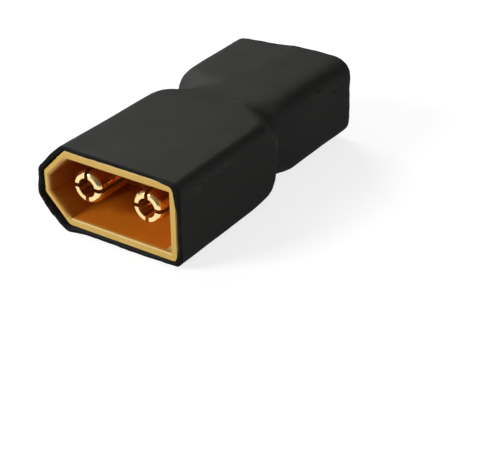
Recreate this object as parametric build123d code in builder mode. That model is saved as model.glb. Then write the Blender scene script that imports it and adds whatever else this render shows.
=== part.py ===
"""Battery connector adapter: a shrouded two-pin end joined back to back to a tee-slot socket end.

The pin end is a moulded shroud with a keyed outline, two slit pins inside it and a solder cup
behind each pin. The socket end is a moulded block with two slots at right angles, each with a
flat contact and a leaf spring behind it. A tab on each contact is soldered into the cup of the
pin that it faces, and one heat-shrink sleeve covers both halves and draws in at the waist
between them.

Units are millimetres. The adapter lies on its broad side: X runs across it, with the positive
side at +X, Y runs along it from the pin mouth to the socket face, and Z is up. The origin is
under the middle, on the surface that it lies on.
"""

import os
from math import cos, radians, tan
from typing import NamedTuple

from build123d import *

# Shroud of the pin end
shroud_width = 15.9
shroud_height = 8.1
shroud_length = 15.5
shroud_wall = 0.8
key_chamfer_width = 2.8
key_chamfer_height = 2.9
shroud_corner_radii = (0.6, 0.6, 0.6)
shroud_back_radius = 0.5
shroud_rim_chamfer = 0.12
cavity_depth = 8.6
web_size_high = 0.45
web_size_low = 0.9
web_setback = 0.55
grip_groove_count = 4
grip_groove_pitch = 1.2
grip_groove_width = 0.6
grip_groove_depth = 0.3
grip_groove_length = 8.0
grip_groove_margin = 1.4

# Pins
pin_pitch = 7.2
pin_radius = 1.75
pin_bore_radius = 1.0
pin_bore_depth = 6.6
pin_setback = 1.15
pin_nose_width = 0.33
pin_nose_length = 0.55
pin_slit_width = 0.42
pin_slit_length = 6.1
pin_slit_count = 4
pin_shoulder_radius = 2.0
pin_shoulder_rise = 0.2
pin_collar_radius = 2.3
pin_collar_length = 2.4
pin_neck_radius = 1.6
seat_web = 1.3
cup_radius = 1.9
cup_wall = 0.35
cup_length = 5.2
cup_projection = 3.3
cup_base = 0.6
cup_scoop_radius = 1.3

# Block of the socket end
block_width = 13.7
block_thick_height = 8.1
block_thin_height = 6.7
block_length = 11.0
block_shoulder_x = 0.85
block_shoulder_run = 0.95
block_thick_corner_radius = 1.2
block_thin_corner_radius = 0.9
shoulder_wrap_radius = 8.0
block_back_radius = 0.5
slot_depth = 9.2
positive_slot_width = 5.2
positive_mating_space = 1.4
positive_backing_space = 0.6
positive_pocket_width = 4.7
positive_pocket_shift = 0.25
positive_pocket_depth = 1.2
negative_slot_width = 4.95
negative_mating_space = 2.55
negative_backing_space = 0.45
negative_pocket_width = 2.3
negative_pocket_depth = 0.45
lip_setback = 1.4
lip_thickness = 0.7
dot_radius = 0.45
dot_depth = 0.15
dot_inset = 0.7
dot_pitch_thick = 4.1
dot_pitch_thin = 3.1
gate_radius = 0.75
gate_x = 0.85

# Contacts
positive_contact_x = 3.8
negative_contact_x = -3.15
negative_contact_z = 0.95
contact_thickness = 0.65
contact_width = 3.85
contact_setback = 1.0
contact_chamfer = 0.45
tab_width = 2.5
tab_reach = 4.6
jog_start = 0.3
jog_length = 0.9

# Leaf springs behind the contacts
spring_thickness = 0.2
spring_width = 2.1
spring_foot = 0.8
spring_end_margin = 0.3

# Solder in the cups
solder_rise = 0.45

# Heat-shrink sleeve
sleeve_wall = 0.45
waist_reach_positive = 6.7
waist_reach_negative = 5.35
waist_height = 7.4
waist_corner_radii = (3.0, 6.0, 2.0)
waist_key_width = 4.6
waist_key_height = 1.1
waist_to_block = 1.6
waist_fall_lean = 0.75
waist_rise_lean = 1.0
waist_steps = 8

# Clearances, and the distance between the two mouldings
fit_clearance = 0.05
solder_clearance = 0.02
joint_gap = 5.6

# Places along the adapter that follow from the sizes above
length = shroud_length + joint_gap + block_length
pin_mouth_y = -length / 2
cavity_floor_y = pin_mouth_y + cavity_depth
shroud_back_y = pin_mouth_y + shroud_length
pin_tip_y = pin_mouth_y + pin_setback
cup_mouth_y = shroud_back_y + cup_projection
block_back_y = shroud_back_y + joint_gap
socket_face_y = length / 2
waist_y = block_back_y - waist_to_block

towards_mouth = (0, -1, 0)

# Places across it
axis_z = max(shroud_height, block_thick_height) / 2 + fit_clearance + sleeve_wall
cup_bore_radius = cup_radius - cup_wall


class Pole(NamedTuple):
    """One side of the adapter: its pin, and its slot as seen from its own flat contact.

    The slot's sizes run across the contact's width (u) and through its thickness (v, positive
    towards the spring), from the middle of the contact.
    """

    name: str
    pin_x: float
    contact_x: float
    contact_z: float
    u_direction: tuple
    v_direction: tuple
    slot_width: float
    mating_space: float
    backing_space: float
    pocket_width: float
    pocket_shift: float
    pocket_depth: float


poles = (
    Pole(
        name="positive",
        pin_x=pin_pitch / 2,
        contact_x=positive_contact_x,
        contact_z=0.0,
        u_direction=(0, 0, 1),
        v_direction=(-1, 0, 0),
        slot_width=positive_slot_width,
        mating_space=positive_mating_space,
        backing_space=positive_backing_space,
        pocket_width=positive_pocket_width,
        pocket_shift=positive_pocket_shift,
        pocket_depth=positive_pocket_depth,
    ),
    Pole(
        name="negative",
        pin_x=-pin_pitch / 2,
        contact_x=negative_contact_x,
        contact_z=negative_contact_z,
        u_direction=(1, 0, 0),
        v_direction=(0, 0, 1),
        slot_width=negative_slot_width,
        mating_space=negative_mating_space,
        backing_space=negative_backing_space,
        pocket_width=negative_pocket_width,
        pocket_shift=0.0,
        pocket_depth=negative_pocket_depth,
    ),
)


def section_plane(y, x=0.0):
    """Plane across the adapter at y: sketch x is X, sketch y is Z, and the normal is -Y."""
    return Plane(origin=(x, y, axis_z), x_dir=(1, 0, 0), z_dir=(0, -1, 0))


def shroud_corners():
    """Corners of the shroud: square at the positive side, chamfered at the negative side."""
    half_width = shroud_width / 2
    half_height = shroud_height / 2
    return (
        (half_width, -half_height),
        (half_width, half_height),
        (-half_width + key_chamfer_width, half_height),
        (-half_width, half_height - key_chamfer_height),
        (-half_width, -half_height + key_chamfer_height),
        (-half_width + key_chamfer_width, -half_height),
    )


def waist_corners():
    """Corners of the waist, in the same order as the shroud's."""
    half_height = waist_height / 2
    return (
        (waist_reach_positive, -half_height),
        (waist_reach_positive, half_height),
        (-waist_reach_negative + waist_key_width, half_height),
        (-waist_reach_negative, half_height - waist_key_height),
        (-waist_reach_negative, -half_height + waist_key_height),
        (-waist_reach_negative + waist_key_width, -half_height),
    )


def wrap_corners():
    """Corners of what a taut sleeve follows round the block, which bridges its two shoulders."""
    half_width = block_width / 2
    thick = block_thick_height / 2
    thin = block_thin_height / 2
    return (
        (half_width, -thick),
        (half_width, thick),
        (block_shoulder_x, thick),
        (-half_width, thin),
        (-half_width, -thin),
        (block_shoulder_x, -thick),
    )


def between(start, end, share):
    """Number, or set of numbers, that lies a share of the way from start to end."""
    if isinstance(start, tuple):
        return tuple(between(first, last, share) for first, last in zip(start, end))
    return start + (end - start) * share


def filled_outline(y, corners, radii, grow=0.0):
    """Filled outline at y, whose sides run anticlockwise, with every side grow further out.

    The radii are those of the two corners at the positive end, of the two nearer the middle, and
    of the two at the negative end.
    """
    positive, middle, negative = (radius + grow for radius in radii)
    corner_radii = (positive, positive, middle, negative, negative, middle)
    spots = [Vector(*corner) for corner in corners]
    arcs = []
    for before, corner, after, radius in zip(
        spots[-1:] + spots, spots, spots[1:] + spots[:1], corner_radii
    ):
        side_in = (corner - before).normalized()
        side_out = (after - corner).normalized()
        half_turn = radians(side_in.get_angle(side_out)) / 2
        outwards = (side_in - side_out).normalized()
        moved = corner + outwards * (grow / cos(half_turn))
        setback = radius * tan(half_turn)
        crown = moved - outwards * (radius / cos(half_turn) - radius)
        arcs.append((moved - side_in * setback, crown, moved + side_out * setback))
    with BuildSketch(section_plane(y)) as section:
        with BuildLine():
            for arc, next_arc in zip(arcs, arcs[1:] + arcs[:1]):
                ThreePointArc(*arc)
                Line(arc[-1], next_arc[0])
        make_face()
    return section.sketch


# Moulding that carries the pins
with BuildPart() as pin_housing:
    shroud_section = filled_outline(shroud_back_y, shroud_corners(), shroud_corner_radii)
    extrude(shroud_section, amount=shroud_length, dir=towards_mouth)
    fillet(pin_housing.faces().sort_by(Axis.Y)[-1].edges(), shroud_back_radius)
    # The cavity follows the outline
    with BuildSketch(section_plane(cavity_floor_y)):
        with BuildLine():
            Polyline(*shroud_corners(), close=True)
        make_face()
        offset(amount=-shroud_wall, kind=Kind.INTERSECTION)
    extrude(amount=cavity_depth, mode=Mode.SUBTRACT)
    chamfer(pin_housing.faces().sort_by(Axis.Y)[0].edges(), shroud_rim_chamfer)
    # A web in each of its two square corners, set back from the rim
    with BuildSketch(section_plane(cavity_floor_y)):
        wall_x = shroud_width / 2 - shroud_wall
        for side, web_size in ((1, web_size_high), (-1, web_size_low)):
            wall_z = side * (shroud_height / 2 - shroud_wall)
            with BuildLine():
                Polyline(
                    (wall_x, wall_z),
                    (wall_x - web_size, wall_z),
                    (wall_x, wall_z - side * web_size),
                    close=True,
                )
            make_face()
    extrude(amount=cavity_depth - web_setback)
    # A stepped seat for each pin, open to the back
    with Locations(section_plane(shroud_back_y)):
        with GridLocations(pin_pitch, 0, 2, 1):
            Cylinder(
                pin_collar_radius + fit_clearance,
                shroud_length - cavity_depth - seat_web,
                align=(Align.CENTER, Align.CENTER, Align.MIN),
                mode=Mode.SUBTRACT,
            )
            Cylinder(
                pin_shoulder_radius + fit_clearance,
                shroud_length - cavity_depth,
                align=(Align.CENTER, Align.CENTER, Align.MIN),
                mode=Mode.SUBTRACT,
            )
    # Grip grooves across both broad sides, near the back
    for face_z in (axis_z + shroud_height / 2, axis_z - shroud_height / 2):
        for groove in range(grip_groove_count):
            groove_y = shroud_back_y - grip_groove_margin - groove * grip_groove_pitch
            with Locations((0, groove_y, face_z)):
                Box(
                    grip_groove_length,
                    grip_groove_width,
                    2 * grip_groove_depth,
                    mode=Mode.SUBTRACT,
                )
pin_housing.part.label = "pin_housing"


def make_pin(pole):
    """Slit pin with a shoulder and a collar that seat in the shroud, and a solder cup behind."""
    to_shoulder = cavity_floor_y - pin_shoulder_rise - pin_tip_y
    to_collar = cavity_floor_y + seat_web - pin_tip_y
    to_mouth = cup_mouth_y - pin_tip_y
    to_cup = to_mouth - cup_length
    # Plane along the pin's axis, midway between two slits
    half_plane = Plane(origin=(pole.pin_x, pin_tip_y, axis_z), x_dir=(1, 0, 1), z_dir=(-1, 0, 1))
    with BuildPart() as pin:
        # Half section: sketch x is the radius and sketch y the distance from the tip
        with BuildSketch(half_plane):
            with BuildLine():
                TangentArc(
                    (pin_radius, pin_nose_length),
                    (pin_radius - pin_nose_width, 0),
                    tangent=(0, -1),
                )
                Polyline(
                    (pin_radius, pin_nose_length),
                    (pin_radius, to_shoulder),
                    (pin_shoulder_radius, to_shoulder),
                    (pin_shoulder_radius, to_collar),
                    (pin_collar_radius, to_collar),
                    (pin_collar_radius, to_collar + pin_collar_length),
                    (pin_neck_radius, to_collar + pin_collar_length),
                    (pin_neck_radius, to_cup),
                    (cup_radius, to_cup),
                    (cup_radius, to_mouth),
                    (cup_bore_radius, to_mouth),
                    (cup_bore_radius, to_cup + cup_base),
                    (0, to_cup + cup_base),
                    (0, pin_bore_depth),
                    (pin_bore_radius, pin_bore_depth),
                    (pin_bore_radius, 0),
                    (pin_radius - pin_nose_width, 0),
                )
            make_face()
        revolve(axis=Axis((pole.pin_x, 0, axis_z), (0, 1, 0)))
        # Slits that divide the front of the pin into spring fingers
        with Locations(section_plane(pin_tip_y + pin_slit_length / 2, pole.pin_x)):
            with PolarLocations(0, pin_slit_count // 2, angular_range=180):
                Box(3 * pin_radius, pin_slit_width, pin_slit_length, mode=Mode.SUBTRACT)
        # The upper lip of the cup is scooped out, so that solder can be fed in
        with Locations((pole.pin_x, cup_mouth_y, axis_z + cup_radius)):
            Cylinder(cup_scoop_radius, 2 * cup_radius, rotation=(0, 90, 0), mode=Mode.SUBTRACT)
    pin.part.label = f"{pole.name}_pin"
    return pin.part


# Depth below the socket face at which the pockets for the springs start
pocket_start = lip_setback + lip_thickness


def slot_plane(pole, depth=0.0):
    """Plane across the slot at a depth below the socket face: sketch x is u and sketch y is v."""
    return Plane(
        origin=(pole.contact_x, socket_face_y - depth, axis_z + pole.contact_z),
        x_dir=pole.u_direction,
        z_dir=(0, -1, 0),
    )


def edge_plane(pole):
    """Plane through the contact, seen on edge: sketch x is the depth and sketch y is v."""
    across = Vector(*pole.u_direction)
    return Plane(origin=slot_plane(pole).origin, x_dir=(0, -1, 0), z_dir=-across)


def flat_plane(pole):
    """Plane through the contact, seen on its flat: sketch x is the depth and sketch y is u."""
    return Plane(origin=slot_plane(pole).origin, x_dir=(0, -1, 0), z_dir=pole.v_direction)


def pocket_section(pole, depth):
    """Section, at a depth, of the pocket beside the slot, where the spring sits."""
    with BuildSketch(slot_plane(pole, depth)) as section:
        with Locations((pole.pocket_shift, pole.backing_space + pole.pocket_depth / 2)):
            Rectangle(pole.pocket_width, pole.pocket_depth)
    return section.sketch


# Moulding that carries the flat contacts
with BuildPart() as socket_housing:
    with BuildSketch(section_plane(socket_face_y)) as block_section:
        shoulder_end_x = block_shoulder_x - block_shoulder_run
        with BuildLine():
            Polyline(
                (block_width / 2, 0),
                (block_width / 2, block_thick_height / 2),
                (block_shoulder_x, block_thick_height / 2),
                (shoulder_end_x, block_thin_height / 2),
                (-block_width / 2, block_thin_height / 2),
                (-block_width / 2, 0),
            )
            mirror(about=Plane.XZ)
        make_face()
        fillet(
            block_section.vertices().filter_by_position(
                Axis.X, block_width / 2 - fit_clearance, block_width / 2 + fit_clearance
            ).filter_by(lambda corner: corner.Y != 0),
            block_thick_corner_radius,
        )
        fillet(
            block_section.vertices().group_by(Axis.X)[0].filter_by(lambda corner: corner.Y != 0),
            block_thin_corner_radius,
        )
    extrude(amount=block_length)
    fillet(socket_housing.faces().sort_by(Axis.Y)[0].edges(), block_back_radius)
    for pole in poles:
        # Main slot, with room for the mating blade beside the contact
        with BuildSketch(slot_plane(pole)):
            with Locations((0, (pole.backing_space - pole.mating_space) / 2)):
                Rectangle(pole.slot_width, pole.backing_space + pole.mating_space)
        extrude(amount=slot_depth, mode=Mode.SUBTRACT)
        # Shallow recess at the face, then a lip, then the pocket that holds the spring
        extrude(
            pocket_section(pole, 0), amount=lip_setback, dir=towards_mouth, mode=Mode.SUBTRACT
        )
        extrude(
            pocket_section(pole, pocket_start),
            amount=slot_depth - pocket_start,
            dir=towards_mouth,
            mode=Mode.SUBTRACT,
        )
        # Passage through the back wall, which grips the contact
        with BuildSketch(slot_plane(pole, slot_depth)):
            Rectangle(contact_width + 2 * fit_clearance, contact_thickness + 2 * fit_clearance)
        extrude(amount=block_length - slot_depth, mode=Mode.SUBTRACT)
    # Round marks that the mould leaves on the face
    with BuildSketch(section_plane(socket_face_y)):
        with Locations((gate_x, 0)):
            Circle(gate_radius)
        with Locations((block_width / 2 - dot_inset, 0)):
            with GridLocations(0, dot_pitch_thick, 1, 2):
                Circle(dot_radius)
        with Locations((-block_width / 2 + dot_inset, 0)):
            with GridLocations(0, dot_pitch_thin, 1, 2):
                Circle(dot_radius)
    extrude(amount=dot_depth, mode=Mode.SUBTRACT)
socket_housing.part.label = "socket_housing"


def pin_offset(pole):
    """How far the pin's axis lies from the middle of the contact, along u and along v."""
    to_pin = Vector(pole.pin_x - pole.contact_x, 0, -pole.contact_z)
    return to_pin.dot(Vector(*pole.u_direction)), to_pin.dot(Vector(*pole.v_direction))


def make_contact(pole):
    """Flat contact with a tab behind the block that jogs over to the axis of its pin."""
    tab_u, tab_v = pin_offset(pole)
    jog_from = block_length + jog_start
    jog_to = jog_from + jog_length
    tab_end = block_length + tab_reach
    half_width = contact_width / 2
    half_thickness = contact_thickness / 2
    with BuildPart() as contact:
        # The bent strip, seen on edge
        with BuildSketch(edge_plane(pole)):
            with BuildLine():
                Polyline(
                    (contact_setback, -half_thickness),
                    (jog_from, -half_thickness),
                    (jog_to, tab_v - half_thickness),
                    (tab_end, tab_v - half_thickness),
                )
                offset(
                    amount=contact_thickness, side=Side.LEFT, closed=True, kind=Kind.INTERSECTION
                )
            make_face()
        extrude(amount=contact_width, both=True)
        # Trimmed to its outline, seen on its flat
        with BuildSketch(flat_plane(pole)) as outline:
            with BuildLine():
                Polyline(
                    (contact_setback, -half_width),
                    (jog_from, -half_width),
                    (jog_to, tab_u - tab_width / 2),
                    (tab_end, tab_u - tab_width / 2),
                    (tab_end, tab_u + tab_width / 2),
                    (jog_to, tab_u + tab_width / 2),
                    (jog_from, half_width),
                    (contact_setback, half_width),
                    close=True,
                )
            make_face()
            chamfer(outline.vertices().group_by(Axis.X)[0], contact_chamfer)
        extrude(amount=contact_width, both=True, mode=Mode.INTERSECT)
    contact.part.label = f"{pole.name}_contact"
    return contact.part


def make_spring(pole):
    """Bowed leaf spring: its feet lie on the wall of the pocket and its back on the contact."""
    start = pocket_start + spring_end_margin
    end = slot_depth - spring_end_margin
    wall_v = pole.backing_space + pole.pocket_depth - fit_clearance
    crown_v = contact_thickness / 2 + fit_clearance + spring_thickness
    with BuildPart() as spring:
        with BuildSketch(edge_plane(pole)):
            with BuildLine():
                Line((start, wall_v), (start + spring_foot, wall_v))
                ThreePointArc(
                    (start + spring_foot, wall_v),
                    ((start + end) / 2, crown_v),
                    (end - spring_foot, wall_v),
                )
                Line((end - spring_foot, wall_v), (end, wall_v))
                offset(
                    amount=spring_thickness, side=Side.RIGHT, closed=True, kind=Kind.INTERSECTION
                )
            make_face()
        extrude(amount=spring_width / 2, both=True)
    spring.part.label = f"{pole.name}_spring"
    return spring.part


def make_solder(pole, contact):
    """Solder that fills the cup round the contact's tab and stands a little proud of the cup."""
    radius = cup_bore_radius - solder_clearance
    depth = cup_length - cup_base - solder_clearance
    mouth = Plane(origin=(pole.pin_x, cup_mouth_y, axis_z), x_dir=(1, 0, 0), z_dir=(0, 0, 1))
    with BuildPart() as solder:
        with BuildSketch(mouth):
            with BuildLine():
                Polyline(
                    (radius, 0),
                    (radius, -depth),
                    (0, -depth),
                    (0, solder_rise),
                    (radius - solder_rise, solder_rise),
                    close=True,
                )
            make_face()
        revolve(axis=Axis((pole.pin_x, 0, axis_z), (0, 1, 0)))
        add(contact, mode=Mode.SUBTRACT)
    solder.part.label = f"{pole.name}_solder"
    return solder.part


def ease(share):
    """Share that starts and ends without a kink."""
    return share**2 * (3 - 2 * share)


def wrapped_solid(grow):
    """Both halves and the waist between them as one solid, grown outwards by grow."""
    fall_start_y = shroud_back_y - shroud_back_radius / 2
    rise_end_y = block_back_y + block_back_radius
    shroud = (shroud_corners(), shroud_corner_radii)
    waist = (waist_corners(), waist_corner_radii)
    wrap = (
        wrap_corners(),
        (block_thick_corner_radius, shoulder_wrap_radius, block_thin_corner_radius),
    )
    # The sleeve falls from the shroud to the waist, and rises more steeply to the block
    sections = []
    for step in range(waist_steps + 1):
        run = step / waist_steps
        y = between(fall_start_y, waist_y, run)
        outline = between(shroud, waist, ease(run**waist_fall_lean))
        sections.append(filled_outline(y, *outline, grow))
    for step in range(1, waist_steps + 1):
        run = step / waist_steps
        y = between(waist_y, rise_end_y, run)
        outline = between(waist, wrap, ease(run**waist_rise_lean))
        sections.append(filled_outline(y, *outline, grow))
    with BuildPart() as solid:
        extrude(sections[0], amount=fall_start_y - pin_mouth_y, dir=towards_mouth)
        loft(sections, ruled=True)
        extrude(sections[-1], amount=rise_end_y - socket_face_y, dir=towards_mouth)
    return solid.part


# Sleeve shrunk over both mouldings, open at both ends
sleeve_outside = wrapped_solid(fit_clearance + sleeve_wall)
sleeve_inside = wrapped_solid(fit_clearance)
with BuildPart() as heat_shrink_sleeve:
    add(sleeve_outside)
    add(sleeve_inside, mode=Mode.SUBTRACT)
heat_shrink_sleeve.part.label = "heat_shrink_sleeve"

os.makedirs("parts", exist_ok=True)
export_step(pin_housing.part, "parts/pin_housing.step")
export_step(socket_housing.part, "parts/socket_housing.step")
export_step(heat_shrink_sleeve.part, "parts/heat_shrink_sleeve.step")
for pole in poles:
    contact = make_contact(pole)
    for piece in (make_pin(pole), contact, make_spring(pole), make_solder(pole, contact)):
        export_step(piece, f"parts/{piece.label}.step")
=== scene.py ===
"""Looks of a battery connector adapter that lies on a pale table.

The two mouldings, the pins, the flat contacts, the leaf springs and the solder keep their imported
shapes and get their finishes. The heat-shrink sleeve is modelled here, with its drawn-in waist,
its cut ends and the places where it stands off the mouldings. Geometry Nodes make the sleeve's
uneven skin and the ridges that the shear left on the contacts.

Lengths are in metres, written as millimetres times mm. X runs across the adapter, with the
positive side at +X, Y runs from the pin mouth to the socket face, and Z is up.
"""

import math

import bpy
from mathutils import Matrix, Vector, noise


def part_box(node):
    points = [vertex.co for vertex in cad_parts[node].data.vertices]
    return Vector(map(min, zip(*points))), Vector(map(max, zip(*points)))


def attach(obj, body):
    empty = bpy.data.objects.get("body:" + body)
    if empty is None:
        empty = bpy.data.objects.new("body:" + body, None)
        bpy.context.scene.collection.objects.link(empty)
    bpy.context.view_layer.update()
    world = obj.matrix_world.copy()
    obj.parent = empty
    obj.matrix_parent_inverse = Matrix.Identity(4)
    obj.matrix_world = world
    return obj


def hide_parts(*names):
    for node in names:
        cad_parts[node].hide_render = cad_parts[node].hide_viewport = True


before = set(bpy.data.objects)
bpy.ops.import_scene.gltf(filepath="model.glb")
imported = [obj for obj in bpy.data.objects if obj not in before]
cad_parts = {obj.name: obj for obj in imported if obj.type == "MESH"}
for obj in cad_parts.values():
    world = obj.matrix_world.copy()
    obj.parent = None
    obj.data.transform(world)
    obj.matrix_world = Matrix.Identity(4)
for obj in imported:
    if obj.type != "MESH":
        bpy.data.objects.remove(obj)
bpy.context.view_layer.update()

mm = 0.001

# Camera
camera_aim = Vector((9.74, -6.46, 0.0)) * mm
camera_distance = 134.0 * mm
camera_azimuth = math.radians(33.86)
camera_elevation = math.radians(30.71)
camera_roll = math.radians(-0.51)
camera_lens = 98.5
camera_film_width = 36.0

# Light
softboxes = {
    "top_softbox": {"place": (-0.42, 0.22, 0.34), "size": 0.4, "power": 2.1},
    "front_softbox": {"place": (-0.4, -0.52, 0.3), "size": 0.3, "power": 5.8},
    "side_softbox": {"place": (0.5, 0.12, 0.04), "size": 0.25, "power": 0.6},
}
world_bright_side = Vector((-0.8, -0.1, 0.6)).normalized()
world_bright_level = 0.3
world_dark_level = 0.04

# Table
table_half_width = 3.0
table_grey = 0.3
table_glow = 0.8

# Places on the adapter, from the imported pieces
pin_end_low, pin_end_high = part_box("pin_housing")
pin_mouth_y = pin_end_low.y
socket_face_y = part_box("socket_housing")[1].y
axis_z = (pin_end_low.z + pin_end_high.z) / 2
shroud_half_width = pin_end_high.x
shroud_half_height = (pin_end_high.z - pin_end_low.z) / 2
key_chamfer_width = 2.8 * mm
key_chamfer_height = 2.9 * mm
key_chamfer_x = shroud_half_width - key_chamfer_width

# Where each shade painted on the yellow moulding starts and where it is full: depths behind the
# mouth, an inset from the outline, and places across
painted_shade_depths = (0.1 * mm, 0.5 * mm)
shaded_bevel_insets = (0.42 * mm, 0.52 * mm)
shaded_bevel_depths = (0.3 * mm, 0.2 * mm)
shaded_bevel_places = (-key_chamfer_x + 0.25 * mm, -key_chamfer_x - 0.25 * mm)
web_places = (6.2 * mm, 6.3 * mm)
web_front_depths = (0.62 * mm, 0.58 * mm)
web_back_depths = (0.3 * mm, 0.4 * mm)

# Sleeve, with the steps of each side of its outline and of each of its corners
sleeve_wall = 0.45 * mm
sleeve_clearance = 0.05 * mm
ring_spacing = 0.2 * mm
side_steps = (26, 50, 18, 12, 18, 50)
corner_steps = 9
lip_steps = 6

# What the taut sleeve follows, from the pin mouth to the socket face, in millimetres. Each row
# gives a place along it, then half the width at the positive side and half the height there, the
# x and half height of the next corner, the x and half height of the corner at the negative side,
# and the radii of those three corners
sleeve_forms = (
    (-16.05, 7.95, 4.05, -5.15, 4.05, -7.95, 1.15, 0.6, 0.6, 0.6),
    (-4.5, 7.95, 4.05, -5.15, 4.05, -7.95, 1.15, 0.65, 0.6, 0.6),
    (-1.8, 7.95, 4.05, -5.1, 4.05, -7.95, 1.15, 0.95, 0.8, 0.7),
    (-0.8, 7.95, 4.04, -4.95, 4.04, -7.9, 1.2, 1.7, 1.3, 0.9),
    (-0.1, 7.92, 4.01, -4.6, 4.0, -7.7, 1.34, 2.6, 1.7, 1.1),
    (0.5, 7.64, 3.98, -3.8, 3.96, -7.28, 1.4, 3.2, 2.1, 1.3),
    (1.1, 7.16, 3.95, -3.1, 3.93, -6.72, 1.54, 3.4, 2.7, 1.5),
    (1.7, 6.82, 3.95, -2.6, 3.9, -6.12, 1.7, 2.9, 3.3, 1.6),
    (2.3, 6.72, 3.97, -2.3, 3.9, -5.66, 1.84, 2.2, 4.0, 1.6),
    (3.0, 6.75, 4.0, -2.0, 3.92, -5.44, 2.06, 1.6, 4.8, 1.7),
    (3.8, 6.8, 4.02, -1.6, 3.95, -5.85, 2.54, 1.38, 5.6, 1.75),
    (4.7, 6.83, 4.04, -1.1, 4.01, -6.46, 3.08, 1.3, 6.4, 1.6),
    (5.7, 6.85, 4.05, -0.5, 4.04, -6.75, 3.27, 1.3, 7.0, 1.3),
    (7.0, 6.85, 4.05, 0.2, 4.05, -6.83, 3.33, 1.3, 7.6, 1.05),
    (9.0, 6.85, 4.05, 0.7, 4.05, -6.85, 3.35, 1.3, 8.0, 0.95),
    (16.05, 6.85, 4.05, 0.85, 4.05, -6.85, 3.35, 1.3, 8.0, 0.9),
)

# Soft forms off that outline. Each has the height that it stands off, less than nothing where the
# sleeve is drawn in, and the middle and reach of where it is: along, across or up from the axis
# in millimetres, or in degrees, by where a point lies round the adapter or which way it faces
chamfer_bulges = (
    {"height": 0.62, "around": (217, 64)},
    {"height": 0.16, "around": (140, 50)},
)
chamfer_bulge_length = 9.0
chamfer_bulge_centre_x = -3.6
waist_folds = (
    {"height": -0.42, "facing": (-45, 60), "along": (2.9, 3.0)},
    {"height": 0.3, "facing": (-45, 50), "along": (-0.2, 1.6)},
)
broad_side_crown = {"height": -0.09, "start": 4.2, "run": 3.2}
step_hollow = {"height": -0.05, "across": (-1.6, 4.5), "run": 8.0}
narrow_side_channel = {"height": -0.14, "up": (0.2, 2.2), "facing": (180, 50), "start": 3.5, "run": 7.0}
end_flare = {"height": 0.22, "facing": (0, 70), "length": 5.0}
notch_dent = {"height": -0.16, "middle": (-5.6, 5.3, 3.6), "reach": 1.1, "stretch": 1.3}

# Cut ends of the sleeve, in millimetres: how far they stand out, with the height and size of the
# waves along them, and the corners of the mouth where the lip curls over the rim
lip_reach = 0.09
lip_least_reach = 0.03
lip_waves = (
    {"height": 0.1, "size": 0.8},
    {"height": 0.06, "size": 0.25},
)
lip_curls = (
    {"x": 8.0, "up": 3.7, "reach": 2.8, "share": 1.0},
    {"x": 8.0, "up": -3.8, "reach": 1.5, "share": 0.7},
)
curl_inwards = 0.5
curl_outwards = 0.12

# Where the dark of a cut end starts and where it is full, past the end
dark_end_places = (-0.12 * mm, 0.03 * mm)

# Sizes of the sleeve's uneven skin, and of the ridges on the contacts' front edges
swell_sizes = {
    "Swell Size": 3.5 * mm,
    "Swell Height": 0.02 * mm,
    "Ripple Size": 0.9 * mm,
    "Ripple Height": 0.006 * mm,
    "End Wave Size": 1.3 * mm,
    "End Wave Height": 0.07 * mm,
}
mouth_wave_length = 2.5 * mm
face_wave_length = 2.0 * mm
ridge_sizes = {
    "Edge Length": 2.95 * mm,
    "Ridge Spacing": 0.25 * mm,
    "Ridge Radius": 0.1 * mm,
    "Ridge Length": 0.62 * mm,
    "Seed": 4,
}
ridge_facets = 12
ridge_least_scale = (0.7, 0.35, 0.8)
ridge_most_scale = (1.15, 0.85, 1.0)
ridge_end_margin = 0.1 * mm
ridge_side_margin = 0.02 * mm
front_edge_depth = 0.02 * mm
ridge_seeds = {"positive": 4, "negative": 9}

# Marks on the sleeve: the middle and half lengths of each in millimetres, its turn about Z in
# degrees, its grey level, and how much of it breaks up
sleeve_marks = (
    ((7.3, 2.1, 5.0), (0.6, 0.13, 0.95), 0, 0.13, 0.3),
    ((7.3, 3.8, 3.9), (0.8, 0.85, 1.0), 0, 0.07, 0.56),
    ((8.4, -9.6, 7.75), (1.2, 3.8, 0.55), 0, 0.05, 0.5),
    ((8.4, -13.2, 7.3), (1.2, 1.8, 0.6), 0, 0.05, 0.52),
    ((8.4, -1.5, 4.2), (1.0, 0.9, 0.35), 0, 0.045, 0.5),
    ((7.35, 9.9, 7.7), (1.0, 0.7, 0.16), 0, 0.006, 0.42),
    ((7.35, 13.6, 6.5), (1.0, 1.9, 0.2), 0, 0.006, 0.5),
    ((2.9, 0.95, 9.0), (0.7, 0.07, 1.0), 32, 0.08, 0.4),
    ((5.6, 3.5, 9.0), (0.5, 0.06, 1.0), 32, 0.08, 0.4),
)


def ease(share):
    """Share that starts and ends without a kink."""
    share = min(max(share, 0.0), 1.0)
    return share * share * (3 - 2 * share)


def between(start, end, share):
    """Value a share of the way from start to end."""
    return start + (end - start) * share


def hump(value, centre, half_width):
    """Smooth hump of height 1 at centre, which is over at half_width on both sides."""
    return ease(1 - abs(value - centre) / half_width)


def add_object(name, data):
    """New object in the scene that holds a mesh, a lamp or a camera."""
    piece = bpy.data.objects.new(name, data)
    bpy.context.scene.collection.objects.link(piece)
    return piece


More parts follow.
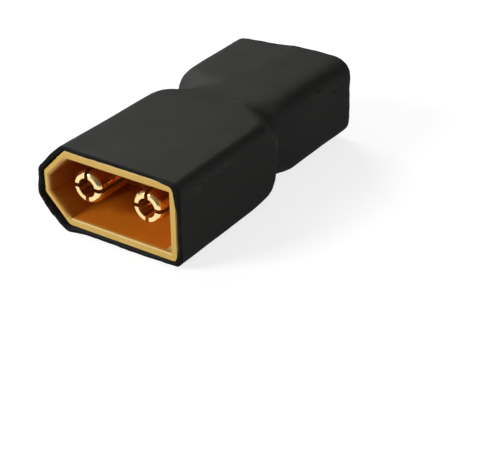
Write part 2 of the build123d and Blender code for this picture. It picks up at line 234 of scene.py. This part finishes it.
def form_at(y):
    """Numbers of the outline at y, in millimetres, on smooth curves that don't overshoot."""
    last = len(sleeve_forms) - 1
    row = 0
    while row < last - 1 and y > sleeve_forms[row + 1][0]:
        row += 1
    first, second = sleeve_forms[row], sleeve_forms[row + 1]
    run = second[0] - first[0]
    share = min(max((y - first[0]) / run, 0.0), 1.0)
    numbers = []
    for column in range(1, len(first)):
        rise = (second[column] - first[column]) / run
        slopes = []
        for place in (row, row + 1):
            if place in (0, last):
                slopes.append(0.0)
                continue
            before, here, after = sleeve_forms[place - 1 : place + 2]
            slope_in = (here[column] - before[column]) / (here[0] - before[0])
            slope_out = (after[column] - here[column]) / (after[0] - here[0])
            if slope_in * slope_out <= 0:
                slopes.append(0.0)
            else:
                slopes.append(2 * slope_in * slope_out / (slope_in + slope_out))
        drift = (slopes[0] * (1 - share) - slopes[1] * share) * run * share * (1 - share)
        drift += rise * run * share * (1 - share) * (2 * share - 1)
        numbers.append(first[column] + rise * run * share + drift)
    return numbers


def outline_points(form, grow):
    """Points and outward normals round an outline, every side grow further out, in millimetres."""
    positive_x, positive_up, middle_x, middle_up, negative_x, negative_up = form[:6]
    positive_radius, middle_radius, negative_radius = form[6:]
    corners = [
        Vector((positive_x, -positive_up)),
        Vector((positive_x, positive_up)),
        Vector((middle_x, middle_up)),
        Vector((negative_x, negative_up)),
        Vector((negative_x, -negative_up)),
        Vector((middle_x, -middle_up)),
    ]
    corner_radii = [positive_radius, positive_radius, middle_radius]
    corner_radii += [negative_radius, negative_radius, middle_radius]
    arcs = []
    for number, corner in enumerate(corners):
        before = corners[number - 1]
        after = corners[(number + 1) % len(corners)]
        side_in = (corner - before).normalized()
        side_out = (after - corner).normalized()
        turn = side_in.angle(side_out)
        radius = corner_radii[number] + grow
        outwards = (side_in - side_out).normalized()
        centre = corner + outwards * ((grow - radius) / math.cos(turn / 2))
        start_angle = math.atan2(-side_in.x, side_in.y)
        arc = []
        for step in range(corner_steps + 1):
            angle = start_angle + turn * step / corner_steps
            normal = Vector((math.cos(angle), math.sin(angle)))
            arc.append((centre + normal * radius, normal))
        arcs.append(arc)
    ring = []
    for number, arc in enumerate(arcs):
        ring += arc
        end, normal = arc[-1]
        following = (number + 1) % len(arcs)
        start = arcs[following][0][0]
        steps = side_steps[following]
        for step in range(1, steps):
            ring.append((end.lerp(start, step / steps), normal))
    return ring


def faces_up_or_down(normal):
    """Share that is 1 within 10 degrees of straight up or down and 0 from 26 degrees off it."""
    return ease((abs(normal.y) - 0.9) * 12)


def stand_off(along, across, up, normal):
    """How far the sleeve stands off the taut form at a place, in millimetres from the axis."""
    from_mouth = along - pin_mouth_y / mm
    from_face = socket_face_y / mm - along
    facing = math.degrees(math.atan2(normal.y, normal.x))
    around = math.degrees(math.atan2(up, across - chamfer_bulge_centre_x)) % 360
    on_broad_side = faces_up_or_down(normal)
    height = 0.0
    # Loose over the two chamfers near the pin mouth, the lower one more than the upper one
    near_mouth = ease(1 - from_mouth / chamfer_bulge_length)
    for bulge in chamfer_bulges:
        height += bulge["height"] * near_mouth * hump(around, *bulge["around"])
    # Drawn up under the positive side of the waist
    for fold in waist_folds:
        height += fold["height"] * hump(facing, *fold["facing"]) * hump(along, *fold["along"])
    # Crowned a little towards the positive side
    crowned = ease((across - broad_side_crown["start"]) / broad_side_crown["run"])
    height += broad_side_crown["height"] * crowned * on_broad_side
    # Drawn in over the step between the two thicknesses of the block
    over_step = hump(across, *step_hollow["across"]) * ease(along / step_hollow["run"])
    height += step_hollow["height"] * over_step * on_broad_side
    # A shallow channel along the narrow negative side of the block
    channel = narrow_side_channel
    in_channel = hump(up, *channel["up"]) * hump(facing % 360, *channel["facing"])
    height += channel["height"] * in_channel * ease((along - channel["start"]) / channel["run"])
    # Flared a little at the positive side of the socket end
    near_face = ease(1 - from_face / end_flare["length"])
    height += end_flare["height"] * near_face * hump(facing, *end_flare["facing"])
    # A small dent beside the notch, where the sleeve climbs onto the block
    dent_x, dent_y, dent_up = notch_dent["middle"]
    off_dent = Vector((across - dent_x, (along - dent_y) / notch_dent["stretch"], up - dent_up))
    height += notch_dent["height"] * ease(1 - off_dent.length / notch_dent["reach"]) * max(normal.y, 0.0)
    return height


def lip_curl(point):
    """How much the lip curls over the rim at a point of the mouth, from 0 to 1."""
    curl = 0.0
    for corner in lip_curls:
        off_corner = Vector((point.x / mm - corner["x"], (point.z - axis_z) / mm - corner["up"]))
        curl += corner["share"] * ease(1 - off_corner.length / corner["reach"])
    return curl


def end_lip(start_row, end_row, direction):
    """Rows that round the ragged cut edge from one skin over to the other."""
    rows = []
    for step in range(1, lip_steps):
        angle = math.pi * step / lip_steps
        row = []
        for start, end in zip(start_row, end_row):
            point = start.lerp(end, (1 - math.cos(angle)) / 2)
            outer = start if direction > 0 else end
            ragged = lip_reach
            for wave in lip_waves:
                ragged += wave["height"] * noise.noise(outer / (wave["size"] * mm))
            reach = max(ragged, lip_least_reach) * math.sin(angle)
            if direction < 0:
                curl = lip_curl(outer) * math.sin(angle)
                inwards = Vector((-outer.x, 0, axis_z - outer.z)).normalized()
                point += inwards * curl_inwards * mm * curl
                reach += curl_outwards * curl
            row.append(point + Vector((0, direction * reach * mm, 0)))
        rows.append(row)
    return rows


def sleeve_rows(y):
    """Rows of points round the outside and the inside of the sleeve at y."""
    form = form_at(y / mm)
    outer_ring = outline_points(form, (sleeve_clearance + sleeve_wall) / mm)
    inner_ring = outline_points(form, sleeve_clearance / mm)
    outer_row = []
    inner_row = []
    for (outer, normal), (inner, _) in zip(outer_ring, inner_ring):
        lift = stand_off(y / mm, outer.x, outer.y, normal)
        outer = outer + normal * lift
        inner = inner + normal * max(lift, 0.0)
        outer_row.append(Vector((outer.x * mm, y, axis_z + outer.y * mm)))
        inner_row.append(Vector((inner.x * mm, y, axis_z + inner.y * mm)))
    return outer_row, inner_row


def build_sleeve():
    """Closed skin of the sleeve: outside, rounded cut edges and inside."""
    count = round((socket_face_y - pin_mouth_y) / ring_spacing)
    outside = []
    inside = []
    for number in range(count + 1):
        outer_row, inner_row = sleeve_rows(between(pin_mouth_y, socket_face_y, number / count))
        outside.append(outer_row)
        inside.append(inner_row)
    far_lip = end_lip(outside[-1], inside[-1], 1)
    near_lip = end_lip(inside[0], outside[0], -1)
    rows = outside + far_lip + inside[::-1] + near_lip
    vertices = [point for row in rows for point in row]
    width = len(rows[0])
    faces = []
    for number in range(len(rows)):
        first = number * width
        second = (number + 1) % len(rows) * width
        for left in range(width):
            right = (left + 1) % width
            faces.append((first + left, first + right, second + right, second + left))
    mesh = bpy.data.meshes.new("heat_shrink_skin")
    mesh.from_pydata(vertices, [], faces)
    mesh.validate()
    mesh.flip_normals()
    mesh.shade_smooth()
    return add_object("heat_shrink_skin", mesh)


def sum_of(tree, operation, first, second=0.0):
    """One sum in a node tree, on sockets or numbers."""
    node = tree.nodes.new("ShaderNodeMath")
    node.operation = operation
    for socket, value in zip(node.inputs, (first, second)):
        if isinstance(value, bpy.types.NodeSocket):
            tree.links.new(value, socket)
        else:
            socket.default_value = value
    return node.outputs[0]


def share_of(tree, value, first, last, interpolation="LINEAR"):
    """Share in a node tree that grows from 0 to 1 between two values."""
    node = tree.nodes.new("ShaderNodeMapRange")
    node.interpolation_type = interpolation
    node.inputs["From Min"].default_value = first
    node.inputs["From Max"].default_value = last
    tree.links.new(value, node.inputs["Value"])
    return node.outputs["Result"]


class Finish:
    """Material whose nodes are added one after the other."""

    def __init__(self, name):
        self.material = bpy.data.materials.new(name)
        self.material.use_nodes = True
        self.tree = self.material.node_tree
        self.nodes = self.tree.nodes
        self.links = self.tree.links
        self.shader = self.nodes["Principled BSDF"]
        self.place = self.nodes.new("ShaderNodeTexCoord").outputs["Object"]

    def set(self, **values):
        """Sets constants on the shader's own sockets."""
        for name, value in values.items():
            self.shader.inputs[name.replace("_", " ")].default_value = value

    def noise(self, size, detail=3.0, roughness=0.5):
        """Noise whose patches are about size metres across."""
        node = self.nodes.new("ShaderNodeTexNoise")
        node.inputs["Scale"].default_value = 1 / size
        node.inputs["Detail"].default_value = detail
        node.inputs["Roughness"].default_value = roughness
        self.links.new(self.place, node.inputs["Vector"])
        return node.outputs["Fac"]

    def ramp(self, value, *stops):
        """Colours or grey levels along a value."""
        node = self.nodes.new("ShaderNodeValToRGB")
        ramp = node.color_ramp
        while len(ramp.elements) < len(stops):
            ramp.elements.new(0.5)
        for element, (position, colour) in zip(ramp.elements, stops):
            if isinstance(colour, float):
                colour = (colour, colour, colour)
            element.position = position
            element.color = (*colour, 1)
        self.links.new(value, node.inputs["Fac"])
        return node.outputs["Color"]

    def patches(self, size, first, second, detail=3.0):
        """Two colours or grey levels that blend in patches about size metres across."""
        return self.ramp(self.noise(size, detail), (0.3, first), (0.7, second))

    def mix(self, share, first, second, blend="MIX"):
        """Two colours mixed by a share, each a socket or a fixed colour."""
        node = self.nodes.new("ShaderNodeMix")
        node.data_type = "RGBA"
        node.blend_type = blend
        # A mix node has its sockets for colours at these places
        share_socket, first_socket, second_socket = node.inputs[0], node.inputs[6], node.inputs[7]
        for socket, value in ((share_socket, share), (first_socket, first), (second_socket, second)):
            if isinstance(value, bpy.types.NodeSocket):
                self.links.new(value, socket)
            elif isinstance(value, float):
                socket.default_value = value
            else:
                socket.default_value = (*value, 1)
        return node.outputs[2]

    def colour(self, socket):
        """Takes the base colour from a socket."""
        self.links.new(socket, self.shader.inputs["Base Color"])

    def roughness(self, socket):
        """Takes the roughness from a socket."""
        self.links.new(socket, self.shader.inputs["Roughness"])

    def part(self, axis):
        """Place along one axis of the object, in metres."""
        parts = self.nodes.new("ShaderNodeSeparateXYZ")
        self.links.new(self.place, parts.inputs[0])
        return parts.outputs[axis]

    def sum(self, operation, first, second=0.0):
        """One sum on sockets or numbers."""
        return sum_of(self.tree, operation, first, second)

    def product(self, *shares):
        """Sockets multiplied with each other."""
        result = shares[0]
        for share in shares[1:]:
            result = self.sum("MULTIPLY", result, share)
        return result

    def beyond(self, axis, first, last):
        """Share that grows from 0 to 1 between two places along an axis of the object."""
        return share_of(self.tree, self.part(axis), first, last)

    def deeper(self, first, last):
        """Share that grows from 0 to 1 between two depths behind the mouth."""
        return self.beyond("Y", pin_mouth_y + first, pin_mouth_y + last)

    def mark(self, middle, reach, turn, breaks, broken):
        """Share that fades out round a middle, broken up by a noise. Lengths in millimetres."""
        mapping = self.nodes.new("ShaderNodeMapping")
        mapping.vector_type = "TEXTURE"
        mapping.inputs["Location"].default_value = Vector(middle) * mm
        mapping.inputs["Rotation"].default_value = (0, 0, math.radians(turn))
        mapping.inputs["Scale"].default_value = Vector(reach) * mm
        self.links.new(self.place, mapping.inputs["Vector"])
        away = self.nodes.new("ShaderNodeVectorMath")
        away.operation = "LENGTH"
        self.links.new(mapping.outputs["Vector"], away.inputs[0])
        spread = self.ramp(away.outputs["Value"], (0.3, 1.0), (1.0, 0.0))
        crumbs = self.ramp(breaks, (broken - 0.04, 0.0), (broken + 0.06, 1.0))
        return self.mix(1.0, spread, crumbs, blend="MULTIPLY")

    def bump(self, height, distance, normal=None):
        """Bump of a height in metres."""
        node = self.nodes.new("ShaderNodeBump")
        node.inputs["Distance"].default_value = distance
        node.inputs["Strength"].default_value = 1.0
        self.links.new(height, node.inputs["Height"])
        if normal is not None:
            self.links.new(normal, node.inputs["Normal"])
        self.links.new(node.outputs["Normal"], self.shader.inputs["Normal"])
        return node.outputs["Normal"]


def chamfered_inset(finish):
    """How far a point lies inside the shroud's outline round its chamfered end, in metres."""
    chamfer_normal = Vector((key_chamfer_height, key_chamfer_width)).normalized()
    across = finish.part("X")
    up = finish.sum("ABSOLUTE", finish.sum("SUBTRACT", finish.part("Z"), axis_z))
    from_corner = finish.sum("ADD", across, key_chamfer_x)
    above_edge = finish.sum("SUBTRACT", up, shroud_half_height)
    inwards = finish.sum("MULTIPLY", from_corner, chamfer_normal.x)
    outwards = finish.sum("MULTIPLY", above_edge, chamfer_normal.y)
    from_chamfer = finish.sum("SUBTRACT", inwards, outwards)
    return finish.sum("MINIMUM", finish.sum("ADD", across, shroud_half_width), from_chamfer)


def yellow_nylon():
    """Satin yellow moulding, with shade painted into its colour in and round the mouth."""
    finish = Finish("yellow_nylon")
    # The yellow's own colour on the rim, and shade painted as a deeper orange down inside the mouth
    rim = finish.patches(1.6 * mm, (0.53, 0.33, 0.062), (0.58, 0.37, 0.075))
    deep = finish.patches(1.6 * mm, (0.49, 0.127, 0.004), (0.54, 0.145, 0.006))
    base = finish.mix(finish.deeper(*painted_shade_depths), rim, deep)
    # Painted shade: brown on the inner part of the rim round the chamfered end, as if a bevel lay there
    # in shade
    inner = share_of(finish.tree, chamfered_inset(finish), *shaded_bevel_insets)
    painted_bevel_shade = finish.product(inner, finish.beyond("X", *shaded_bevel_places), finish.deeper(*shaded_bevel_depths))
    base = finish.mix(painted_bevel_shade, base, (0.36, 0.14, 0.002))
    # Painted shade: a dull tan on the two small webs in the corners of the square end, a little back in
    # the mouth
    web_front = finish.product(finish.deeper(*web_front_depths), finish.deeper(*web_back_depths))
    web_shade = finish.product(finish.beyond("X", *web_places), web_front)
    base = finish.mix(web_shade, base, (0.33, 0.22, 0.07))
    finish.colour(base)
    finish.roughness(finish.patches(0.4 * mm, 0.36, 0.46))
    finish.set(IOR=1.53)
    finish.bump(finish.noise(0.12 * mm, detail=4.0), 0.006 * mm)
    return finish.material


def red_nylon():
    """Matt brick-red moulding."""
    finish = Finish("red_nylon")
    finish.colour(finish.patches(1.2 * mm, (0.32, 0.05, 0.038), (0.37, 0.06, 0.046)))
    finish.roughness(finish.patches(0.3 * mm, 0.42, 0.55))
    finish.set(IOR=1.53)
    finish.bump(finish.noise(0.1 * mm, detail=5.0), 0.01 * mm)
    return finish.material


def gold_plating():
    """Bright gold plating on turned and pressed brass."""
    finish = Finish("gold_plating")
    finish.colour(finish.patches(0.5 * mm, (0.93, 0.68, 0.3), (0.97, 0.75, 0.38)))
    finish.roughness(finish.patches(0.2 * mm, 0.14, 0.24))
    finish.set(Metallic=1.0)
    finish.bump(finish.noise(0.08 * mm, detail=4.0), 0.002 * mm)
    return finish.material


def spring_steel():
    """Plain rolled steel strip."""
    finish = Finish("spring_steel")
    finish.colour(finish.patches(0.5 * mm, (0.5, 0.5, 0.51), (0.6, 0.6, 0.6)))
    finish.roughness(finish.patches(0.2 * mm, 0.25, 0.38))
    finish.set(Metallic=1.0)
    return finish.material


def solder():
    """Dull tin solder, a little lumpy."""
    finish = Finish("solder")
    finish.colour(finish.patches(0.6 * mm, (0.5, 0.5, 0.5), (0.62, 0.62, 0.63)))
    finish.roughness(finish.patches(0.3 * mm, 0.3, 0.5))
    finish.set(Metallic=1.0)
    finish.bump(finish.noise(0.5 * mm), 0.03 * mm)
    return finish.material


def black_heat_shrink():
    """Satin black sleeve with fine dust, and lighter and darker marks on its skin."""
    finish = Finish("black_heat_shrink")
    base = finish.patches(4.0 * mm, (0.031, 0.0306, 0.029), (0.036, 0.0356, 0.0336), detail=4.0)
    dust = finish.ramp(finish.noise(0.16 * mm, detail=1.0), (0.7, 0.0), (0.76, 0.6))
    base = finish.mix(dust, base, (0.09, 0.088, 0.08))
    breaks = finish.noise(0.45 * mm, detail=6.0, roughness=0.65)
    for middle, reach, turn, level, broken in sleeve_marks:
        share = finish.mark(middle, reach, turn, breaks, broken)
        base = finish.mix(share, base, (level, level * 0.98, level * 0.94))
    # The cut ends are darker than the skin
    for end_y, outwards in ((pin_mouth_y, -1), (socket_face_y, 1)):
        first, last = (end_y + outwards * past for past in dark_end_places)
        base = finish.mix(finish.beyond("Y", first, last), base, (0.008, 0.0078, 0.0075))
    finish.colour(base)
    finish.roughness(finish.patches(1.4 * mm, 0.48, 0.58, detail=5.0))
    # A thin coat in place of the skin's own shine keeps its edges from glowing
    finish.set(IOR=1.49, Specular_IOR_Level=0.0, Coat_Weight=0.1, Coat_Roughness=0.45, Coat_IOR=1.5)
    grain = finish.bump(finish.noise(0.09 * mm, detail=5.0), 0.006 * mm)
    finish.bump(finish.noise(1.1 * mm), 0.012 * mm, normal=grain)
    return finish.material


def maker_tree(name, sizes, takes_piece):
    """Geometry Nodes tree with a named input for each size, and the outputs of its inputs."""
    tree = bpy.data.node_groups.new(name, "GeometryNodeTree")
    if takes_piece:
        tree.interface.new_socket(name="Geometry", in_out="INPUT", socket_type="NodeSocketGeometry")
    for size, value in sizes.items():
        kind = "NodeSocketInt" if isinstance(value, int) else "NodeSocketFloat"
        socket = tree.interface.new_socket(name=size, in_out="INPUT", socket_type=kind)
        socket.default_value = value
    tree.interface.new_socket(name="Geometry", in_out="OUTPUT", socket_type="NodeSocketGeometry")
    return tree, tree.nodes.new("NodeGroupInput").outputs


def end_tree(tree, geometry, material):
    """Makes a tree's instances real, gives them their material and puts them out."""
    real = tree.nodes.new("GeometryNodeRealizeInstances")
    tree.links.new(geometry, real.inputs["Geometry"])
    finished = tree.nodes.new("GeometryNodeSetMaterial")
    finished.inputs["Material"].default_value = material
    tree.links.new(real.outputs["Geometry"], finished.inputs["Geometry"])
    result = tree.nodes.new("NodeGroupOutput")
    tree.links.new(finished.outputs["Geometry"], result.inputs["Geometry"])


def sleeve_swell_tree(material):
    """Node tree for the uneven skin of the sleeve, which waves most at its cut ends."""
    tree, given = maker_tree("sleeve_swell", swell_sizes, takes_piece=True)
    nodes = tree.nodes
    links = tree.links
    place = nodes.new("GeometryNodeInputPosition").outputs[0]

    def wave(name):
        """Noise of a named size, as high each way as its named height."""
        texture = nodes.new("ShaderNodeTexNoise")
        texture.inputs["Detail"].default_value = 1.0
        links.new(place, texture.inputs["Vector"])
        links.new(sum_of(tree, "DIVIDE", 1.0, given[f"{name} Size"]), texture.inputs["Scale"])
        centred = sum_of(tree, "SUBTRACT", texture.outputs["Fac"], 0.5)
        doubled = sum_of(tree, "MULTIPLY", centred, 2.0)
        return sum_of(tree, "MULTIPLY", doubled, given[f"{name} Height"])

    parts = nodes.new("ShaderNodeSeparateXYZ")
    links.new(place, parts.inputs[0])
    along = parts.outputs["Y"]
    at_mouth = share_of(tree, along, pin_mouth_y + mouth_wave_length, pin_mouth_y, "SMOOTHSTEP")
    at_face = share_of(tree, along, socket_face_y - face_wave_length, socket_face_y, "SMOOTHSTEP")
    at_ends = sum_of(tree, "MAXIMUM", at_mouth, at_face)
    lift = sum_of(tree, "ADD", wave("Swell"), wave("Ripple"))
    lift = sum_of(tree, "ADD", lift, sum_of(tree, "MULTIPLY", at_ends, wave("End Wave")))
    outwards = nodes.new("ShaderNodeVectorMath")
    outwards.operation = "SCALE"
    links.new(nodes.new("GeometryNodeInputNormal").outputs[0], outwards.inputs[0])
    links.new(lift, outwards.inputs["Scale"])
    moved = nodes.new("GeometryNodeSetPosition")
    links.new(given["Geometry"], moved.inputs["Geometry"])
    links.new(outwards.outputs[0], moved.inputs["Offset"])
    end_tree(tree, moved.outputs["Geometry"], material)
    return tree


def shear_ridges_tree(material):
    """Node tree for the ridges that the shear leaves along the front edge of a contact."""
    tree, given = maker_tree("shear_ridges", ridge_sizes, takes_piece=False)
    nodes = tree.nodes
    links = tree.links
    span = sum_of(tree, "SUBTRACT", given["Edge Length"], given["Ridge Spacing"])
    start = nodes.new("ShaderNodeCombineXYZ")
    links.new(sum_of(tree, "MULTIPLY", span, -0.5), start.inputs["X"])
    step = nodes.new("ShaderNodeCombineXYZ")
    links.new(given["Ridge Spacing"], step.inputs["X"])
    line = nodes.new("GeometryNodeMeshLine")
    count = sum_of(tree, "DIVIDE", given["Edge Length"], given["Ridge Spacing"])
    links.new(count, line.inputs["Count"])
    links.new(start.outputs[0], line.inputs["Start Location"])
    links.new(step.outputs[0], line.inputs["Offset"])
    ridge = nodes.new("GeometryNodeMeshCylinder")
    ridge.inputs["Vertices"].default_value = ridge_facets
    links.new(given["Ridge Radius"], ridge.inputs["Radius"])
    links.new(given["Ridge Length"], ridge.inputs["Depth"])
    uneven = nodes.new("FunctionNodeRandomValue")
    uneven.data_type = "FLOAT_VECTOR"
    uneven.inputs["Min"].default_value = ridge_least_scale
    uneven.inputs["Max"].default_value = ridge_most_scale
    links.new(given["Seed"], uneven.inputs["Seed"])
    row = nodes.new("GeometryNodeInstanceOnPoints")
    links.new(line.outputs["Mesh"], row.inputs["Points"])
    links.new(ridge.outputs["Mesh"], row.inputs["Instance"])
    links.new(uneven.outputs["Value"], row.inputs["Scale"])
    end_tree(tree, row.outputs["Instances"], material)
    return tree


def made_by(piece, tree, wanted):
    """Plain mesh that a node tree makes from a piece, with some of its inputs set by name."""
    maker = piece.modifiers.new("maker", "NODES")
    maker.node_group = tree
    for item in tree.interface.items_tree:
        if item.in_out == "INPUT" and item.name in wanted:
            maker[item.identifier] = wanted[item.name]
    seen = piece.evaluated_get(bpy.context.evaluated_depsgraph_get())
    mesh = bpy.data.meshes.new_from_object(seen)
    piece.modifiers.remove(maker)
    return mesh


def build_shear_ridges(pole, tree):
    """Ridges on the front edge of one contact, across the thickness of its blade."""
    corners = [corner.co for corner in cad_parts[f"{pole}_contact"].data.vertices]
    front = max(corner.y for corner in corners)
    edge = [corner for corner in corners if corner.y > front - front_edge_depth]
    low = Vector(min(corner[axis] for corner in edge) for axis in range(3))
    high = Vector(max(corner[axis] for corner in edge) for axis in range(3))
    width, height = high.x - low.x, high.z - low.z
    wanted = {
        "Edge Length": max(width, height) - 2 * ridge_end_margin,
        "Ridge Length": min(width, height) - 2 * ridge_side_margin,
        "Seed": ridge_seeds[pole],
    }
    holder = add_object("ridge_holder", bpy.data.meshes.new("ridge_holder"))
    mesh = made_by(holder, tree, wanted)
    bpy.data.objects.remove(holder)
    turn = Matrix.Rotation(math.radians(90 if height > width else 0), 4, "Y")
    mesh.transform(Matrix.Translation((low + high) / 2) @ turn)
    mesh.shade_smooth()
    ridges = add_object(f"{pole}_shear_ridges", mesh)
    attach(ridges, "root")


def apply_finish(node, material):
    """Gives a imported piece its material."""
    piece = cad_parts[node]
    piece.data.materials.clear()
    piece.data.materials.append(material)


def table_finish():
    """Pale table: lit like paper by everything, and a plain white ground for what looks at it."""
    material = bpy.data.materials.new("table")
    material.use_nodes = True
    tree = material.node_tree
    tree.nodes.clear()
    path = tree.nodes.new("ShaderNodeLightPath").outputs
    looks = sum_of(tree, "MAXIMUM", path["Is Camera Ray"], path["Is Glossy Ray"])
    looks = sum_of(tree, "MAXIMUM", looks, path["Is Transmission Ray"])
    paper = tree.nodes.new("ShaderNodeBsdfDiffuse")
    paper.inputs["Color"].default_value = (table_grey, table_grey, table_grey, 1)
    glow = tree.nodes.new("ShaderNodeEmission")
    glow.inputs["Strength"].default_value = table_glow
    ground = tree.nodes.new("ShaderNodeAddShader")
    tree.links.new(paper.outputs[0], ground.inputs[0])
    tree.links.new(glow.outputs[0], ground.inputs[1])
    chosen = tree.nodes.new("ShaderNodeMixShader")
    tree.links.new(looks, chosen.inputs["Fac"])
    tree.links.new(paper.outputs[0], chosen.inputs[1])
    tree.links.new(ground.outputs[0], chosen.inputs[2])
    output = tree.nodes.new("ShaderNodeOutputMaterial")
    tree.links.new(chosen.outputs[0], output.inputs["Surface"])
    return material


def build_table(height):
    """Square table top at a height."""
    half = table_half_width
    corners = [(x, y, height) for x, y in ((-half, -half), (half, -half), (half, half), (-half, half))]
    mesh = bpy.data.meshes.new("table")
    mesh.from_pydata(corners, [], [(0, 1, 2, 3)])
    mesh.materials.append(table_finish())
    add_object("table", mesh)


def add_softbox(name, place, size, power):
    """Square soft lamp that points at the adapter."""
    lamp = bpy.data.lights.new(name, "AREA")
    lamp.shape = "SQUARE"
    lamp.size = size
    lamp.energy = power
    softbox = add_object(name, lamp)
    softbox.location = place
    softbox.rotation_euler = Vector(place).to_track_quat("Z", "Y").to_euler()


def light_world():
    """World that is brighter on one side than on the other."""
    world = bpy.data.worlds.new("studio")
    bpy.context.scene.world = world
    world.use_nodes = True
    nodes = world.node_tree.nodes
    links = world.node_tree.links
    place = nodes.new("ShaderNodeTexCoord")
    side = nodes.new("ShaderNodeVectorMath")
    side.operation = "DOT_PRODUCT"
    side.inputs[1].default_value = world_bright_side
    links.new(place.outputs["Generated"], side.inputs[0])
    level = nodes.new("ShaderNodeMapRange")
    level.inputs["From Min"].default_value = -1.0
    level.inputs["From Max"].default_value = 1.0
    level.inputs["To Min"].default_value = world_dark_level
    level.inputs["To Max"].default_value = world_bright_level
    links.new(side.outputs["Value"], level.inputs["Value"])
    background = nodes["Background"]
    background.inputs["Color"].default_value = (1, 1, 1, 1)
    links.new(level.outputs["Result"], background.inputs["Strength"])


def place_camera():
    """Camera where the photograph was taken from, turned as it was."""
    camera = add_object("camera", bpy.data.cameras.new("camera"))
    level = math.cos(camera_elevation)
    back = Vector(
        (
            math.sin(camera_azimuth) * level,
            -math.cos(camera_azimuth) * level,
            math.sin(camera_elevation),
        )
    )
    turn = back.to_track_quat("Z", "Y").to_matrix()
    turn = turn @ Matrix.Rotation(camera_roll, 3, "Z")
    camera.matrix_world = Matrix.Translation(camera_aim + back * camera_distance) @ turn.to_4x4()
    camera.data.sensor_width = camera_film_width
    camera.data.lens = camera_lens
    camera.data.clip_start = mm
    camera.data.clip_end = 20.0
    bpy.context.scene.camera = camera


skin = build_sleeve()
skin.data = made_by(skin, sleeve_swell_tree(black_heat_shrink()), {})
skin.data.name = "heat_shrink_skin"
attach(skin, "root")
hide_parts("heat_shrink_sleeve")

gold = gold_plating()
tin = solder()
steel = spring_steel()
ridges_tree = shear_ridges_tree(gold)
apply_finish("pin_housing", yellow_nylon())
apply_finish("socket_housing", red_nylon())
for pole in ("positive", "negative"):
    apply_finish(f"{pole}_pin", gold)
    apply_finish(f"{pole}_contact", gold)
    apply_finish(f"{pole}_spring", steel)
    apply_finish(f"{pole}_solder", tin)
    build_shear_ridges(pole, ridges_tree)

build_table(min(corner.co.z for corner in skin.data.vertices))
light_world()
for name, softbox in softboxes.items():
    add_softbox(name, **softbox)
place_camera()

bpy.context.scene.view_settings.view_transform = "Standard"
